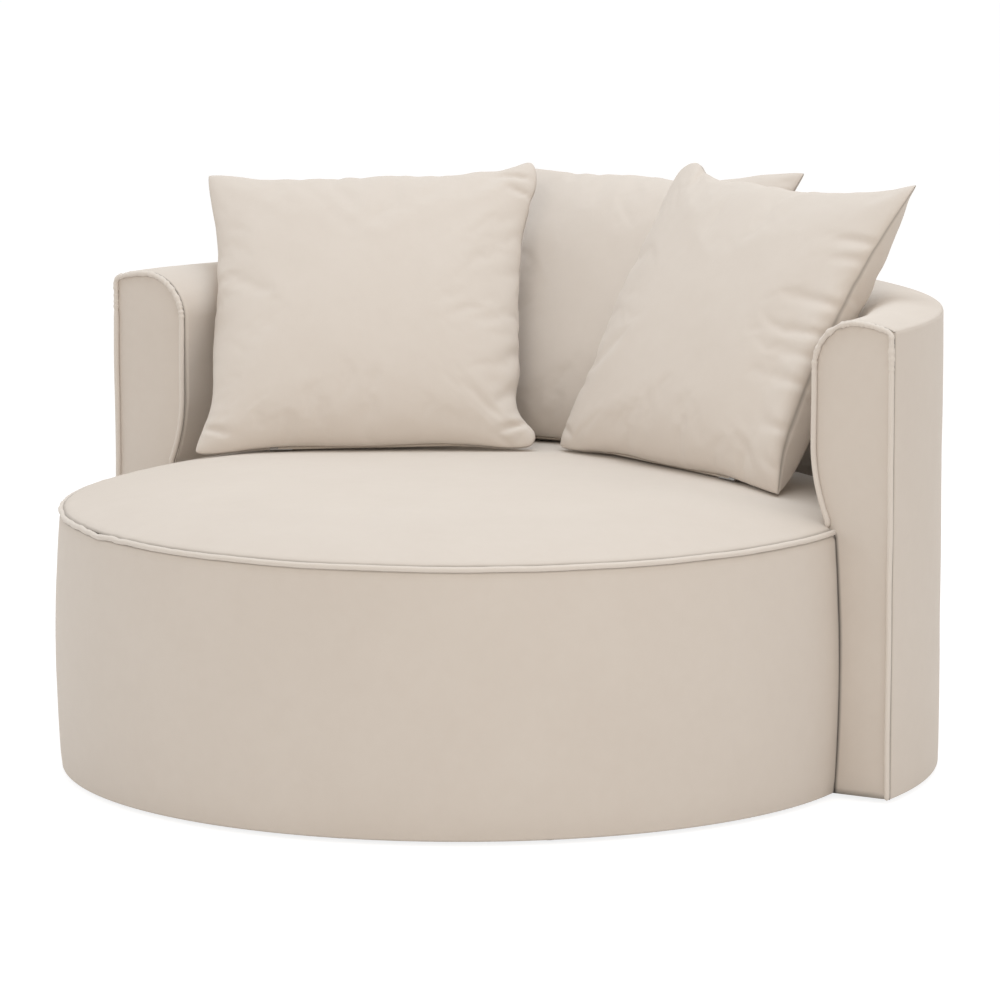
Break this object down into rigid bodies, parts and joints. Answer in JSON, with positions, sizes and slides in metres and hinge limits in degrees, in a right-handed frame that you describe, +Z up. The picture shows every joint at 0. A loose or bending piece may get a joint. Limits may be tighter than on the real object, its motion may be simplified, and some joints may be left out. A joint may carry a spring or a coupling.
{
  "type": "upholstered armchair",
  "caption": "Round, very wide upholstered armchair: crowned drum seat inside a low C-shaped wall that is back and arms, piped seams, loose square cushions, in pale beige fabric.",
  "frame": {"origin": "on the floor, at the upright axis of the round seat, under the centre glide", "axes": "+X to the right of a person facing the chair's open front, +Y towards the back, +Z up"},
  "size_m": [1.5, 1.4569, 0.9413],
  "materials": {
    "cover_fabric": "pale warm beige upholstery fabric with a short, suede-like nap",
    "piping_fabric": "the same fabric cut on the bias over a cord",
    "upholstery_foam": "open-cell foam, out of sight",
    "fibre_wadding": "loose white fibre layer, out of sight",
    "cushion_fibre": "white fibre in an inner bag",
    "elastic_webbing": "woven elastic strap",
    "dust_cloth": "thin black non-woven cloth",
    "plywood": "birch plywood and softwood, sawn, not varnished",
    "glide_plastic": "black moulded plastic",
    "zip_nylon": "beige nylon coil zip on tape",
    "plated_steel": "zinc-plated steel"
  },
  "bodies": {
    "chair": {"back_bottom_rail": "plywood", "back_dust_cover": "dust_cloth", "back_foam": "upholstery_foam", "back_inner_cover": "cover_fabric", "back_inner_panel": "plywood", "back_lower_posts": "plywood", "back_outer_cover": "cover_fabric", "back_outer_panel": "plywood", "back_outer_wadding": "fibre_wadding", "back_seat_rail": "plywood", "back_top_rail": "plywood", "back_upper_posts": "plywood", "base_board": "plywood", "base_dust_cover": "dust_cloth", "centre_post": "plywood", "crosswise_webbing": "elastic_webbing", "drum_side_padding": "upholstery_foam", "drum_side_panel": "plywood", "floor_glides": "glide_plastic", "glide_nails": "plated_steel", "joining_bolts": "plated_steel", "joining_nuts": "plated_steel", "joining_washers": "plated_steel", "left_arm_board": "plywood", "left_arm_facing": "cover_fabric", "left_arm_pad": "upholstery_foam", "left_arm_piping": "piping_fabric", "lengthwise_webbing": "elastic_webbing", "right_arm_board": "plywood", "right_arm_facing": "cover_fabric", "right_arm_pad": "upholstery_foam", "right_arm_piping": "piping_fabric", "seat_cover_band": "cover_fabric", "seat_cover_top": "cover_fabric", "seat_deck": "plywood", "seat_foam_core": "upholstery_foam", "seat_foam_topper": "upholstery_foam", "seat_piping": "piping_fabric", "seat_posts": "plywood", "seat_wadding": "fibre_wadding"},
    "left_cushion": {"left_cushion_back_panel": "cover_fabric", "left_cushion_fill": "cushion_fibre", "left_cushion_front_panel": "cover_fabric", "left_cushion_zip": "zip_nylon"},
    "left_zip_slider": {"left_cushion_zip_slider": "plated_steel"},
    "middle_cushion": {"middle_cushion_back_panel": "cover_fabric", "middle_cushion_fill": "cushion_fibre", "middle_cushion_front_panel": "cover_fabric", "middle_cushion_zip": "zip_nylon"},
    "middle_zip_slider": {"middle_cushion_zip_slider": "plated_steel"},
    "right_cushion": {"right_cushion_back_panel": "cover_fabric", "right_cushion_fill": "cushion_fibre", "right_cushion_front_panel": "cover_fabric", "right_cushion_zip": "zip_nylon"},
    "right_zip_slider": {"right_cushion_zip_slider": "plated_steel"}
  },
  "joints": [
    {"name": "left_cushion_lift", "type": "slide", "parent": "chair", "child": "left_cushion", "axis": [0, 0, 1], "range_m": [0, 0.45]},
    {"name": "middle_cushion_lift", "type": "slide", "parent": "chair", "child": "middle_cushion", "axis": [0, 0.4384, 0.8988], "range_m": [0, 0.45]},
    {"name": "right_cushion_lift", "type": "slide", "parent": "chair", "child": "right_cushion", "axis": [0, 0, 1], "range_m": [0, 0.45]},
    {"name": "left_zip_slide", "type": "slide", "parent": "left_cushion", "child": "left_zip_slider", "axis": [0.87, 0.4922, 0.0284], "range_m": [0, 0.28]},
    {"name": "middle_zip_slide", "type": "slide", "parent": "middle_cushion", "child": "middle_zip_slider", "axis": [1, 0, 0.0075], "range_m": [0, 0.28]},
    {"name": "right_zip_slide", "type": "slide", "parent": "right_cushion", "child": "right_zip_slider", "axis": [-0.9484, 0.3155, 0.0302], "range_m": [0, 0.28]}
  ]
}
